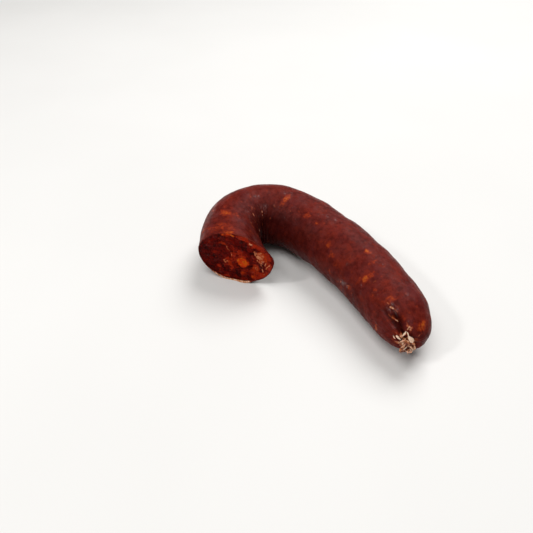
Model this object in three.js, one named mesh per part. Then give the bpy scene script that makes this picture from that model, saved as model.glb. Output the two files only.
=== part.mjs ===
// Cured sausage in the shape of a hook: cut across at one end, gathered and twisted shut at the other.
//
// Millimetres, +Z up. It lies on its side on the plane z = 0. The long leg runs along Y, with the
// gathered end towards -Y and the bend towards +Y, and the cut leg is on the -X side. The origin is
// on that plane, under the middle of the sausage's box.
//
// The skin is a round section carried along a flat, curved centreline. A place on it is given by
// s, the distance along the centreline from the cut, and by the angle around it in degrees: 0 is the
// outside of the bend, 90 the top, 180 the inside of the bend and 270 the underside.

import * as THREE from 'three';

// Driving dimensions: the centreline
const LENGTH = 187.0;              // from the cut to the gathered end
const HEADING_AT_CUT = 78.4;       // degrees from +X towards +Y
const LEG_CURVATURE = 0.0047;      // 1/mm, clockwise seen from above
const BEND_CURVATURE = 0.0446;     // 1/mm, added at the middle of the bend
const BEND_AT = 45.5;              // the middle of the bend
const BEND_SPREAD_BEFORE = 34.8;   // how far the bend reaches towards the cut
const BEND_SPREAD_AFTER = 27.3;    // and towards the gathered end
const END_CURVATURE = 0.0024;      // 1/mm, added over the last stretch
const END_STRETCH = 50;

// Driving dimensions: the section's radius at the cut, in the bend, on the leg and at the end
const RADIUS_AT_CUT = 17.9;
const RADIUS_IN_BEND = 18.7;
const RADIUS_ON_LEG = 17.8;
const RADIUS_AT_END = 14.3;
const BEND_RADIUS_AT = 52;
const LEG_RADIUS_AT = 111;
const FLATTENED = 0.6;             // how much of the underside is pressed flat by the weight

// Driving dimensions: the cut, a vertical plane across the sausage at a slant
const CUT_SLANT = 36.6;            // degrees off square, longest on the inside of the bend
const SLANT_FADE = 25;             // distance over which the sections turn square again
const GRAIN_HEIGHT = 0.3;          // relief of the meat on the cut face
const LIP_REACH = 1.3;             // the torn lip of skin under the cut
const LIP_AT = 262;                // degrees around the section
const LIP_HALF_WIDTH = 14;         // degrees
const LIP_DEPTH = 2;               // how far back along the skin the lip starts

// Driving dimensions: the gathered end, a rounded cap drawn in to a twisted tail
const CAP_LENGTH = 28.4;
const CAP_POWER_BLUNT = 2.7;       // superellipse powers: 2 is an ellipse, more is blunter
const CAP_POWER_SLIM = 1.7;
const CAP_BLUNTEST_AT = -30;       // degrees around the section
const TAIL_SIDE = -5.8;            // the tail's place across the end, towards the inside
const TAIL_HEIGHT = 15.3;          // and above the plane that the sausage lies on
const TAIL_RADIUS = 2.7;           // where the tail leaves the cap
const TAIL_DROOP = 0.22;           // fall of the tail for each millimetre ahead
const HOLLOW_DEPTH = 3.2;          // how deep the tail's root is drawn into the cap
const HOLLOW_RADIUS = 6;
// The tail's outline: distance ahead of its root, and radius
const TAIL_PROFILE = [[0.7, 2.3], [1.4, 2.4], [2.1, 3.0], [2.8, 3.9], [3.4, 4.0], [3.6, 3.2], [3.3, 2.2], [2.9, 1.1]];
const TAIL_END = 2.7;
const TAIL_FRAY = 0.14;             // unevenness of its end, for each millimetre ahead

// Driving dimensions: relief of the skin
const LUMP_HEIGHT = 0.36;
const CREASE_DEPTH = 0.65;         // creases on the inside of the bend
const CREASE_PITCH = 5.6;
const CREASE_SPREAD = 24;
const PLEAT_DEPTH = 0.75;          // pleats that run to the tail
const VALLEY_DEPTH = 2.1;          // the one deep fold, from a dimple to the tail
const VALLEY_AT = 118;             // degrees around the section
const VALLEY_HALF_WIDTH = 15;      // degrees
const DIMPLE_DEPTH = 1.5;
const DIMPLE_AHEAD = 17.5;         // from the start of the cap
const DIMPLE_RADIUS = 4.2;

// Fineness of the faces
const AROUND = 40;
const LEG_STEP = 2.9;
const BEND_STEP = 1.45;
const CAP_RINGS = 14;
const FACE_RINGS = 6;
const TRACE_STEP = 0.25;

const CAP_START = LENGTH - CAP_LENGTH;
const SKIN_COLOUR = 0x5c1f19;

const radians = THREE.MathUtils.degToRad;
const { clamp, lerp, smoothstep } = THREE.MathUtils;

// Bell curve: 1 at the middle, fading over the given width
function bell(distance, width) {
  return Math.exp(-((distance / width) ** 2));
}

// Degrees between two angles, the short way round
function turnBetween(a, b) {
  return Math.abs(((a - b + 540) % 360) - 180);
}

// The centreline

function curvature(s) {
  const spread = s < BEND_AT ? BEND_SPREAD_BEFORE : BEND_SPREAD_AFTER;
  const nearEnd = clamp((s - LENGTH + END_STRETCH) / END_STRETCH, 0, 1);
  return LEG_CURVATURE + BEND_CURVATURE * bell(s - BEND_AT, spread) + END_CURVATURE * nearEnd;
}

// Points at equal steps along the centreline, each with its heading in radians
function traceCentreline() {
  const trace = [{ x: 0, y: 0, heading: radians(HEADING_AT_CUT) }];
  for (let i = 0; i * TRACE_STEP < LENGTH; i += 1) {
    const { x, y, heading } = trace[i];
    const turned = heading - curvature((i + 0.5) * TRACE_STEP) * TRACE_STEP;
    const middle = (heading + turned) / 2;
    trace.push({
      x: x + Math.cos(middle) * TRACE_STEP,
      y: y + Math.sin(middle) * TRACE_STEP,
      heading: turned,
    });
  }
  return trace;
}

const centreline = traceCentreline();

function centreAt(s) {
  const i = Math.min(Math.floor(s / TRACE_STEP), centreline.length - 2);
  const t = s / TRACE_STEP - i;
  const before = centreline[i];
  const after = centreline[i + 1];
  return {
    x: lerp(before.x, after.x, t),
    y: lerp(before.y, after.y, t),
    heading: lerp(before.heading, after.heading, t),
  };
}

// A point beside the centreline: aside is towards the outside of the bend, ahead is along it.
// Nothing goes below the plane that the sausage lies on.
function place(s, aside, z, ahead) {
  const { x, y, heading } = centreAt(s);
  const alongX = Math.cos(heading);
  const alongY = Math.sin(heading);
  return [x - alongY * aside + alongX * ahead, y + alongX * aside + alongY * ahead, Math.max(z, 0)];
}

// The skin's section and relief

function radiusAt(s) {
  if (s < BEND_RADIUS_AT) {
    return lerp(RADIUS_AT_CUT, RADIUS_IN_BEND, smoothstep(s, 0, BEND_RADIUS_AT));
  }
  if (s < LEG_RADIUS_AT) {
    return lerp(RADIUS_IN_BEND, RADIUS_ON_LEG, smoothstep(s, BEND_RADIUS_AT, LEG_RADIUS_AT));
  }
  return lerp(RADIUS_ON_LEG, RADIUS_AT_END, ((s - LEG_RADIUS_AT) / (LENGTH - LEG_RADIUS_AT)) ** 1.3);
}

// The uneven filling shows through the skin as low lumps, long ones and short ones
function lumps(s, degrees) {
  const a = radians(degrees);
  const long = Math.sin(s / 4.3 + 1.7 * Math.cos(a + 0.5)) + 0.8 * Math.cos(2 * a + s / 15 + 0.7);
  const short = Math.sin(s / 2.4 + 2.6 * Math.sin(a) + 1.1) * Math.cos(3 * a - s / 9);
  return LUMP_HEIGHT * (0.55 * long + 0.5 * short);
}

// Skin that is pushed together on the inside of the bend folds into sharp valleys
function creases(s, degrees) {
  const a = radians(degrees);
  const inside = smoothstep(-Math.cos(a - 0.35), 0.1, 0.85);
  const ridge = Math.abs(Math.sin((Math.PI * (s + 1.3 * Math.sin(2 * a))) / CREASE_PITCH));
  return CREASE_DEPTH * inside * bell(s - BEND_AT, CREASE_SPREAD) * (ridge ** 0.6 - 1);
}

// Pleats, the deep fold and its dimple, all inwards. share is 1 at the cap's rim and 0 at its pole.
function gathers(share, ahead, degrees) {
  const a = radians(degrees);
  const pleat = 0.5 + 0.3 * Math.cos(5 * a + 0.8) + 0.2 * Math.cos(8 * a + 2.1);
  const offFold = turnBetween(degrees, VALLEY_AT);
  const fold = bell(offFold, VALLEY_HALF_WIDTH) * smoothstep(ahead, DIMPLE_AHEAD - 3, DIMPLE_AHEAD + 4);
  const offDimple = Math.hypot(ahead - DIMPLE_AHEAD, radians(offFold) * RADIUS_AT_END * share);
  return (
    -PLEAT_DEPTH * pleat * bell(share, 0.55)
    - VALLEY_DEPTH * fold
    - DIMPLE_DEPTH * bell(offDimple, DIMPLE_RADIUS)
  );
}

// A point of the round skin. lip is 1 where the torn lip of skin stands out and 0 without it.
function skinPoint(s, degrees, lip) {
  const a = radians(degrees);
  const radius = radiusAt(s) + lumps(s, degrees) + creases(s, degrees);
  const aside = radius * Math.cos(a);
  const slant = Math.tan(radians(CUT_SLANT)) * Math.exp(-s / SLANT_FADE);
  const torn = LIP_REACH * bell(turnBetween(degrees, LIP_AT), LIP_HALF_WIDTH) * bell(s, LIP_DEPTH);
  return place(s, aside, radiusAt(s) - FLATTENED + radius * Math.sin(a), slant * aside - torn * lip);
}

// The way from the tail's root out to a point of the cap's rim, in the plane of the section
function wayToRim(degrees) {
  const a = radians(degrees);
  const rim = radiusAt(CAP_START);
  const aside = rim * Math.cos(a) - TAIL_SIDE;
  const up = rim - FLATTENED + rim * Math.sin(a) - TAIL_HEIGHT;
  const reach = Math.hypot(aside, up);
  return { reach, aside: aside / reach, up: up / reach };
}

// A point of the cap, whose rings close in on the tail's root, off the middle of the end.
// ring is 1 at the rim and 0 at the tail.
function capPoint(ring, degrees) {
  const a = radians(degrees);
  const way = wayToRim(degrees);
  const share = lerp(TAIL_RADIUS / way.reach, 1, ring);
  const blunt = (1 + Math.cos(a - radians(CAP_BLUNTEST_AT))) / 2;
  const power = lerp(CAP_POWER_SLIM, CAP_POWER_BLUNT, blunt);
  const ahead = CAP_LENGTH * Math.max(1 - share ** power, 0) ** (1 / power);

  // Relief moves the skin square to it: outwards at the rim, ahead at the tail
  const facingAhead = (ahead / CAP_LENGTH) ** (power - 1) / CAP_LENGTH;
  const facingOut = share ** (power - 1) / way.reach;
  const relief = lumps(CAP_START + ahead, degrees) * share + gathers(share, ahead, degrees);
  const move = relief / Math.hypot(facingAhead, facingOut);

  const out = share * way.reach * (radiusAt(CAP_START + ahead) / radiusAt(CAP_START));
  const hollow = HOLLOW_DEPTH * bell(share * way.reach, HOLLOW_RADIUS);
  return place(
    CAP_START + ahead,
    TAIL_SIDE + way.aside * out + lerp(way.aside, Math.cos(a), share) * move * facingOut,
    TAIL_HEIGHT + way.up * out + lerp(way.up, Math.sin(a), share) * move * facingOut,
    move * facingAhead - hollow,
  );
}

// A point of the twisted tail: its folds make it uneven around and at its end
function tailPoint(ahead, radius, degrees) {
  const a = radians(degrees);
  const way = wayToRim(degrees);
  const folded = radius * (1 + 0.17 * Math.cos(5 * a + 0.6 + 0.3 * ahead) + 0.1 * Math.cos(3 * a + 2));
  const frayed = TAIL_FRAY * ahead * Math.cos(4 * a + 1);
  const z = TAIL_HEIGHT - TAIL_DROOP * ahead + way.up * folded;
  return place(LENGTH, TAIL_SIDE + way.aside * folded, z, ahead + frayed - HOLLOW_DEPTH);
}

// The cut face

// Relief of the chopped meat, by place across the face and height on it
function grain(across, z) {
  const coarse = Math.sin(across / 1.9 + 1.3 * Math.sin(z / 3.1)) * Math.cos(z / 2.3 + 0.7);
  const broad = Math.sin(across / 5.3 + z / 7.1 + 0.4);
  return GRAIN_HEIGHT * (0.7 * coarse + 0.6 * broad);
}

// A point of the cut face. share is 1 at its rim and 0 at its middle.
function facePoint(share, degrees) {
  const a = radians(degrees);
  const slant = radians(CUT_SLANT);
  const rim = RADIUS_AT_CUT + lumps(0, degrees);
  const aside = share * rim * Math.cos(a);
  const z = Math.max(RADIUS_AT_CUT - FLATTENED + rim * Math.sin(a), 0);
  const height = lerp(RADIUS_AT_CUT - FLATTENED, z, share);
  const relief = grain(aside / Math.cos(slant), height) * (1 - share ** 8);
  return place(
    0,
    aside + relief * Math.sin(slant),
    height,
    Math.tan(slant) * aside - relief * Math.cos(slant),
  );
}

// The mesh: rings of points from the middle of the cut face to the end of the tail

// Places of the rings along the round skin, closer together in the bend
function skinStations() {
  const stations = [0];
  while (stations.at(-1) < CAP_START) {
    const s = stations.at(-1);
    const spread = s < BEND_AT ? BEND_SPREAD_BEFORE : BEND_SPREAD_AFTER;
    stations.push(s + lerp(LEG_STEP, BEND_STEP, bell(s - BEND_AT, spread)));
  }
  const fit = CAP_START / stations.at(-1);
  return stations.map((s) => s * fit);
}

function makeRing(pointAt) {
  return Array.from({ length: AROUND }, (_, i) => pointAt((360 * i) / AROUND));
}

function makeRings() {
  const rings = [];
  for (let i = 1; i < FACE_RINGS; i += 1) {
    rings.push(makeRing((degrees) => facePoint(1 - (1 - i / FACE_RINGS) ** 1.2, degrees)));
  }
  for (const s of skinStations()) {
    rings.push(makeRing((degrees) => skinPoint(s, degrees, 1)));
  }
  for (let i = 1; i <= CAP_RINGS; i += 1) {
    const ring = Math.cos((Math.PI / 2) * (i / CAP_RINGS));
    rings.push(makeRing((degrees) => capPoint(ring, degrees)));
  }
  for (const [ahead, radius] of TAIL_PROFILE) {
    rings.push(makeRing((degrees) => tailPoint(ahead, radius, degrees)));
  }
  return rings;
}

// Joins rings of points into one closed surface with a point at each end
function closedSurface(first, rings, last) {
  const positions = [...first, ...rings.flat(2), ...last];
  const lastIndex = positions.length / 3 - 1;
  const indices = [];
  const at = (ring, i) => 1 + ring * AROUND + (i % AROUND);
  for (let i = 0; i < AROUND; i += 1) {
    indices.push(0, at(0, i + 1), at(0, i));
    indices.push(lastIndex, at(rings.length - 1, i), at(rings.length - 1, i + 1));
    for (let ring = 0; ring < rings.length - 1; ring += 1) {
      indices.push(at(ring, i), at(ring, i + 1), at(ring + 1, i + 1));
      indices.push(at(ring, i), at(ring + 1, i + 1), at(ring + 1, i));
    }
  }
  const geometry = new THREE.BufferGeometry();
  geometry.setAttribute('position', new THREE.Float32BufferAttribute(positions, 3));
  geometry.setIndex(indices);
  return geometry;
}

function makeSausage() {
  const geometry = closedSurface(facePoint(0, 0), makeRings(), tailPoint(TAIL_END, 0, 0));
  geometry.computeBoundingBox();
  const middle = geometry.boundingBox.getCenter(new THREE.Vector3());
  geometry.translate(-middle.x, -middle.y, 0);
  geometry.computeVertexNormals();
  const skin = new THREE.MeshStandardMaterial({ color: SKIN_COLOUR, roughness: 0.4, metalness: 0 });
  const mesh = new THREE.Mesh(geometry, skin);
  mesh.name = 'sausage';
  return mesh;
}

const curedSausage = new THREE.Group();
curedSausage.add(makeSausage());

export default curedSausage;
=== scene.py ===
"""Looks of a cured sausage in the shape of a hook: cut across at one end, gathered at the other.

Sizes are in millimetres, as in the part, and turn into metres where a mesh is made. A place on the
skin is given by s, the distance along the centreline from the cut, and by an angle in degrees around
the section: 0 is the outside of the bend, 90 the top, 180 the inside of the bend, 270 the underside.
"""

import itertools
import math

import bpy
import numpy as np
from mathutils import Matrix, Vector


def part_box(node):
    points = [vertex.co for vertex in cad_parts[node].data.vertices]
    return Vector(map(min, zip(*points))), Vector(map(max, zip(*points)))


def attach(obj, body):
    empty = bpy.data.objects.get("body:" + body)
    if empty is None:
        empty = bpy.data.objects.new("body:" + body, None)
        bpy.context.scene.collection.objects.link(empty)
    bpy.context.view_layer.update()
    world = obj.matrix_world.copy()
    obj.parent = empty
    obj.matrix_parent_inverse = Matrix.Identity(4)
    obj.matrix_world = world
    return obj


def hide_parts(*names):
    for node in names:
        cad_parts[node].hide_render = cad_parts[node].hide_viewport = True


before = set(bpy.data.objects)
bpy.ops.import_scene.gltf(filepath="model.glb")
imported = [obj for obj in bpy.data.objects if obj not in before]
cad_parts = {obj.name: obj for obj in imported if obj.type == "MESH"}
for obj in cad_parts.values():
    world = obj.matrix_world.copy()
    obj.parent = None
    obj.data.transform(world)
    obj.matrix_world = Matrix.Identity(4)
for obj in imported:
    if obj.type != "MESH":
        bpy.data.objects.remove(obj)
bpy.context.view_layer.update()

# The part's own sizes: its centreline
LENGTH = 187.0
HEADING_AT_CUT = 78.4
LEG_CURVATURE = 0.0047
BEND_CURVATURE = 0.0446
BEND_AT = 45.5
BEND_SPREAD_BEFORE = 34.8
BEND_SPREAD_AFTER = 27.3
END_CURVATURE = 0.0024
END_STRETCH = 50
TRACE_STEP = 0.25

# The part's own sizes: its section and relief
RADIUS_AT_CUT = 17.9
RADIUS_IN_BEND = 18.7
RADIUS_ON_LEG = 17.8
RADIUS_AT_END = 14.3
BEND_RADIUS_AT = 52
LEG_RADIUS_AT = 111
FLATTENED = 0.6
LUMP_HEIGHT = 0.36
CREASE_DEPTH = 0.65
CREASE_PITCH = 5.6
CREASE_SPREAD = 24

# The part's own sizes: its cut and the torn lip of skin under it
CUT_SLANT = 36.6
SLANT_FADE = 25
LIP_REACH = 1.3
LIP_AT = 262
LIP_HALF_WIDTH = 14
LIP_DEPTH = 2

# The part's own sizes: its gathered end
CAP_LENGTH = 28.4
CAP_POWER_BLUNT = 2.7
CAP_POWER_SLIM = 1.7
CAP_BLUNTEST_AT = -30
PLEAT_DEPTH = 0.75
VALLEY_DEPTH = 2.1
VALLEY_AT = 118
VALLEY_HALF_WIDTH = 15
DIMPLE_DEPTH = 1.5
DIMPLE_AHEAD = 17.5
DIMPLE_RADIUS = 4.2
TAIL_SIDE = -5.8
TAIL_HEIGHT = 15.3
TAIL_RADIUS = 2.7
TAIL_DROOP = 0.22
HOLLOW_DEPTH = 3.2
HOLLOW_RADIUS = 6
CAP_START = LENGTH - CAP_LENGTH

# Fineness of the meshes
AROUND = 262
SKIN_RINGS = 284
RIM_STRETCH = 3.0
RIM_RINGS = 14
CAP_RINGS = 68
FACE_AROUND = 520
FACE_RINGS = 130

# Soft forms by the cut: the edge curls beside the lip, and the skin is drawn in, and out to a point
CURL_REACH = 0.8
CURL_AT = 296
CURL_HALF_WIDTH = 22
PINCH_DEPTH = 2.3
PINCH_AT = 134
PINCH_BEHIND = 6.5
POINT_REACH = 1.0
POINT_AT = 169
PINCH_HALF_WIDTH = 15
PINCH_FADE = 7

# Fine relief of the casing
PEBBLE_SIZE = 2.7
PEBBLE_HEIGHT = 0.1
WRINKLE_PITCH = 0.9
WRINKLE_LENGTH = 5.5
WRINKLE_DEPTH = 0.11
FAT_RISE = 0.1
FAT_RAGGED = 0.45
CASING_THICKNESS = 0.4

# The bend's inner side, tilted down a little, in radians, and where along it the painted shade is darkest
INNER_TILT = 0.35
PAINTED_SHADE_AT = 50
PAINTED_SHADE_SPREAD = 57

# Pieces of fat that show through the casing, as in the photo:
# s, degrees around, half length along, half width around, strength
FAT_SEEN = [
    (4.5, 66, 3.4, 5, 0.42), (4, 88, 3.2, 5, 0.4), (0.6, 83, 1.3, 3.6, 0.72),
    (33, 74, 3.8, 2.6, 0.4), (19, 82, 2.6, 3.8, 0.62), (19, 103, 2.2, 2.8, 0.45),
    (8, 73, 2.2, 3, 0.48), (41.8, 105, 0.9, 3.2, 0.42), (69.5, 109, 1.9, 5, 0.72),
    (76, 120, 1.3, 3.4, 0.28), (83, 116, 1.1, 3.6, 0.34), (90, 117, 2.2, 2.2, 0.62),
    (99, 120, 1.5, 1.4, 0.5), (115, 137, 2.4, 2, 0.66), (120.5, 146, 2.6, 2.2, 0.5),
    (125.8, 156, 1.2, 3, 0.42), (116, 85, 2.2, 0.9, 0.28), (134.8, 95, 2, 1.9, 0.8),
    (142, 106, 1, 3.4, 0.46), (147.2, 132, 2.1, 2.4, 0.86), (147.8, 121, 1.4, 3, 0.56),
    (145, 142, 1.2, 2.6, 0.46), (141.5, 170, 1.6, 1.6, 0.72), (157, 142, 1.3, 2.8, 0.42),
    (156, 131, 1.4, 1.4, 0.45), (166, 119, 2, 2.4, 0.66), (167, 106, 1, 2.6, 0.4),
    (174, 135, 0.9, 1.3, 0.85), (176, 128, 0.7, 1, 0.9), (177, 107, 1.8, 1.2, 0.4),
    (182, 54, 2.2, 3.2, 0.8), (156, 77, 0.9, 0.9, 0.28), (147, 87, 1.1, 0.9, 0.32),
    (124, 71, 1.4, 0.9, 0.34), (132, 71, 1.1, 0.9, 0.3),
]
# Strokes on the skin, where it is wet: s and degrees of the start and of the end, half width, strength
WET_PLACES = [
    (168.5, 127, 173, 118, 1.6, 0.9), (176, 146, 181, 150, 0.6, 0.6),
    (26, 140, 52, 138, 4, 0.75), (30, 165, 40, 175, 5, 0.75),
    (132, 178, 139, 172, 1.6, 0.8), (20, 50, 26, 50, 2, 0.5),
]
# More strokes: pale flecks of dry skin on the crests of folds, and painted glints in creases and on the
# brow by the tail's pit
PALE_FLECKS_AND_PAINTED_GLINTS = [
    (166.3, 127, 167.3, 126, 0.4, 0.62), (168.8, 127, 170.2, 123, 0.46, 0.95),
    (170.4, 122, 173, 117, 0.36, 0.55), (171.2, 127, 172.6, 122, 0.3, 0.35),
    (173.6, 136, 175.4, 131, 0.46, 0.6), (175.6, 130.5, 176.6, 127, 0.38, 0.88),
    (171.4, 139, 172.8, 138.5, 0.3, 0.5), (179.6, 103, 180.8, 101, 0.32, 0.5),
    (180.9, 104, 181.8, 99, 0.45, 0.66), (181.6, 98, 182.6, 93, 0.42, 0.7),
    (183, 96, 183.4, 93, 0.42, 0.72), (182.2, 90, 182.8, 88, 0.36, 0.56),
    (185.3, 47, 185.6, 45, 0.45, 0.6), (22.2, 51, 22.6, 50, 0.7, 0.6),
    (133.6, 178, 134, 175, 0.42, 0.74), (131.3, 183, 131.7, 180, 0.36, 0.5),
    (139.2, 171, 140.8, 168, 0.42, 0.62), (144, 177, 144.4, 175, 0.45, 0.5),
    (152.1, 125, 152.3, 121, 0.48, 0.46), (154.6, 84, 155, 80, 0.34, 0.4),
    (146.8, 86, 147, 82, 0.34, 0.34), (49.8, 138, 49.9, 140, 0.65, 0.85),
    (50.2, 145, 50.3, 146, 0.6, 0.8), (50.5, 150, 50.6, 151, 0.6, 0.5),
    (33.8, 133, 33.9, 136, 0.7, 0.8), (35.8, 124, 36, 126, 0.6, 0.5),
    (37.2, 122, 37.3, 124, 0.6, 0.55), (39.8, 127, 39.9, 129, 0.6, 0.5),
    (30.5, 143, 30.6, 146, 0.6, 0.5), (21.5, 132, 21.6, 136, 0.6, 0.5),
    (19.5, 136, 19.6, 141, 0.6, 0.5), (34.5, 166, 34.6, 168, 0.85, 0.88),
    (32.2, 179, 32.3, 182, 0.95, 0.88), (48.8, 161, 48.9, 164, 0.7, 0.5),
    (25, 170, 25.1, 176, 0.6, 0.45), (62.5, 151, 62.6, 152, 0.8, 0.45),
    (63, 126, 64.5, 129, 0.6, 0.42), (77.6, 125, 77.9, 126, 0.5, 0.5),
    (11.8, 128, 12, 131, 0.5, 0.45), (14.5, 147, 14.6, 151, 0.6, 0.5),
]
# Pieces of fat on the unseen sides, and the degrees that they lie between
HIDDEN_FAT_COUNT = 90
HIDDEN_FAT_FROM = 172
HIDDEN_FAT_TO = 412

# The casing's cut edge, from inside out: how far inwards and ahead each ring lies, and whether
# the torn lip carries it along
RIM_PROFILE = [
    (2.4, 2.6, 0), (1, 0.9, 0), (0.42, 0.3, 0), (0.4, 0.05, 0.6), (0.38, -0.04, 1),
    (0.28, -0.14, 1), (0.14, -0.15, 1), (0.04, -0.09, 1),
]

# The deep fold over the tail: the degrees of its edges, how far from the tail's root it reaches,
# and the pit at its top with the brow above it
FOLD_LEFT = 150
FOLD_RIGHT = 108
FOLD_REACH = 11
FOLD_LEFT_RISE = 0.22
FOLD_RIGHT_RISE = 0.3
FOLD_FLOOR_DEPTH = 0.65
PIT_AT = 124
PIT_DISTANCE = 10.6
PIT_RADIUS = 1.3
PIT_DEPTH = 1.5
BROW_RISE = 0.45
THIN_PLEAT_DEPTH = 0.75

# The knob of gut at the tail: its outline, as distances ahead of its root and radii
KNOB_AHEAD = [0, 0.7, 1.4, 2.2, 3, 3.5, 3.7, 3.5, 3.2, 3]
KNOB_RADIUS = [2.7, 2.3, 2.4, 2.8, 3.3, 3.3, 2.7, 1.9, 1, 0.02]
KNOB_RINGS = 70
KNOB_AROUND = 120
STRIP_RINGS = 30
STRIP_AROUND = 12
STRIP_THICKNESS = 0.16
STRIP_CRUMPLE = 0.16
LOOSE_STRIPS = 18
# Strips of gut that the photo shows: the points that lead each, as distance from the tail's root,
# degrees around it and lift above the skin, then half width, twist in degrees and paleness
STRIPS_SEEN = [
    ([(5.5, 170, 0.3), (5.3, 171, 1.2), (5.2, 172, 1.9)], 0.34, 60, 0.8),
    ([(4.9, 160, 0.3), (4.5, 157, 1.4), (4, 154, 2)], 0.58, -70, 0.95),
    ([(8.9, 100, 0.2), (8.2, 105, 0.9), (7.4, 110, 0.4)], 0.36, 50, 0.35),
    ([(7, 113, 0.5), (5.8, 123, 1.3), (4.8, 135, 1)], 0.42, -50, 1),
    ([(6.6, 109, 0.5), (5.4, 106, 1.3), (4.6, 107, 1.8)], 0.38, 60, 0.85),
    ([(5.4, 108, 1.7), (4.4, 88, 2.6), (3.6, 46, 2)], 1.05, 30, 1),
    ([(4.9, 100, 1.9), (3.6, 80, 3), (2.8, 36, 2.6)], 0.6, -60, 0.85),
    ([(2.4, 128, 3.6), (3.8, 158, 4.2), (3.4, 190, 5), (4.4, 208, 3.8)], 0.6, -30, 0.55),
    ([(1.4, 160, 4), (2.2, 184, 4.6), (3.2, 204, 4.2)], 0.42, 40, 0.9),
    ([(1, 110, 3.6), (2.4, 10, 4.6), (4, 310, 4.6), (4.4, 256, 4.4), (2.6, 214, 3.6)], 0.55, 90, 0.55),
    ([(3.2, 40, 3.2), (3.9, 350, 3.6), (4, 312, 3.2)], 0.5, -70, 0.45),
    ([(1.4, 300, 3.8), (2.4, 280, 4.6), (3.6, 258, 4.4)], 0.42, 60, 0.7),
    ([(2, 230, 3.9), (3.2, 244, 4.7), (4.6, 252, 3.9)], 0.42, 80, 0.55),
]

# Fat on the cut face, as in the photo: place across and height, half size each way, tilt in
# degrees, strength
ORANGE_FAT = [
    (4, 33.9, 4.4, 1.4, 4, 0.95), (4.6, 32.2, 2.2, 1.2, 0, 0.4), (7.2, 26.3, 2.4, 1.4, 10, 0.56),
    (4, 12.8, 1.3, 2.6, 0, 0.6), (-4.1, 15.4, 3.5, 4, -20, 0.95),
    (-5.4, 14.2, 1.8, 1.6, 0, 1.1), (-10.1, 5.4, 1.5, 1, 0, 0.7),
    (-10.8, 9.6, 2.6, 2.2, -20, 0.46), (-4.3, 6.7, 1.7, 0.9, 0, 0.58),
    (-12.1, 12.6, 2.2, 3.6, -15, 0.6), (-15.6, 21.3, 3.2, 4.6, -22, 0.72),
    (-19.4, 18, 1.2, 3.6, -15, 0.42),
]
# Pale fat; its first spot is a painted glint over the dark pit of the first hole
PALE_FAT_AND_GLINT = [
    (-9.7, 29.5, 0.6, 0.46, 0, 1.25), (6, 13.8, 1.4, 1.6, 0, 0.6),
    (-12.9, 21.9, 1.2, 3.7, -24, 0.7), (-14.9, 21.8, 2.2, 3.4, -24, 0.56),
    (-15.6, 18.4, 1.4, 1.6, -24, 0.5), (-15.4, 18.8, 1.8, 3, -20, 0.56),
    (-16.2, 18.1, 0.6, 0.6, 0, 0.95), (-12.1, 12.6, 1.3, 2.6, -15, 0.34),
]
# Thin streaks: place across and height of the start and of the end, half width, strength
PALE_STREAKS = [
    (-11.3, 24.8, -12.3, 19.6, 0.5, 0.75), (-12.3, 19.6, -14.3, 16.9, 0.45, 0.8),
    (-14.3, 16.9, -16, 13.8, 0.4, 0.6), (-16, 13.8, -16.6, 9.2, 0.34, 0.85),
    (-18.9, 20.2, -17.7, 15.4, 0.46, 0.7), (-20.2, 16.8, -18, 12.4, 0.44, 0.62),
    (6.8, 26.4, 4.8, 23.4, 0.32, 0.62), (4.8, 23.4, 2.2, 18.6, 0.3, 0.6),
]
# Brighter red lean meat
BRIGHT_LEAN = [
    (10.4, 8.7, 1.8, 2.4, 0, 0.7), (6.8, 2, 2.4, 1.2, 0, 0.75), (2.6, 10.2, 1.8, 2, 0, 0.6),
    (0.4, 2.8, 1.6, 1, 0, 0.6), (-5, 32, 5.5, 1.8, 22, 0.85), (-9.6, 29.4, 3.4, 1.8, 30, 0.8),
    (-13.5, 6.5, 3.5, 2.5, -30, 0.7), (-15.4, 27.4, 3.6, 1.9, 40, 1),
    (-19.4, 22.2, 3.4, 1.8, 62, 1), (-20.4, 14.5, 1.6, 4.5, 0, 0.95),
    (-17, 8, 3.5, 2.5, -40, 0.75), (-1.5, 18.5, 4.5, 5.5, 0, 0.35),
    (12.5, 20, 3, 3, 0, 0.35),
]
# Wet drops on the cut face: place across and height, radius
WET_DROPS = [
    (-9.6, 29.4, 0.65), (-16.2, 18.1, 0.5), (-14.6, 13.2, 0.4), (9.8, 4.4, 0.45),
]
DROP_HEIGHT = 0.5
# Small holes in the cut face, darkened with painted shade: place across and height, radius
HOLES = [
    (-9.3, 28, 0.8), (1.9, 21.2, 0.6), (-4.8, 3.6, 0.9), (5, 5.8, 1.1), (-10.4, 22.4, 0.7),
    (13.5, 15.5, 0.7),
]
HOLE_DEPTH = 0.6
CRUMB_COUNT = 60
# Relief of the cut meat: the part's own, then finer
GRAIN_HEIGHT = 0.3
FINE_GRAIN_HEIGHT = 0.1
CHUNK_RISE = 0.1
SEAM_DEPTH = 0.16
FACE_FAT_RISE = 0.14
# How far the meat lies behind the casing's edge, and more at its own edge
FACE_SUNK = 0.15
FACE_TUCKED = 0.5

# Metres in a millimetre
MM = 0.001


def bell(distance, width):
    """1 at the middle, fading over the given width."""
    return np.exp(-((distance / width) ** 2))


def smooth(value, low, high):
    """0 up to low, 1 from high, and an even curve between them."""
    t = np.clip((value - low) / (high - low), 0, 1)
    return t * t * (3 - 2 * t)


def mix(a, b, t):
    return a + (b - a) * t


def turn_between(a, b):
    """Degrees from b to a, the short way round, between -180 and 180."""
    return (a - b + 540) % 360 - 180


def off_line(x, y, to_x, to_y):
    """How far places lie off the straight line from 0, 0 to another place."""
    t = np.clip((x * to_x + y * to_y) / (to_x**2 + to_y**2), 0, 1)
    return np.hypot(x - t * to_x, y - t * to_y)


def points_of(*values):
    """Points from their coordinates, which are arrays or single numbers."""
    return np.stack(np.broadcast_arrays(*values), axis=-1)


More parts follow.
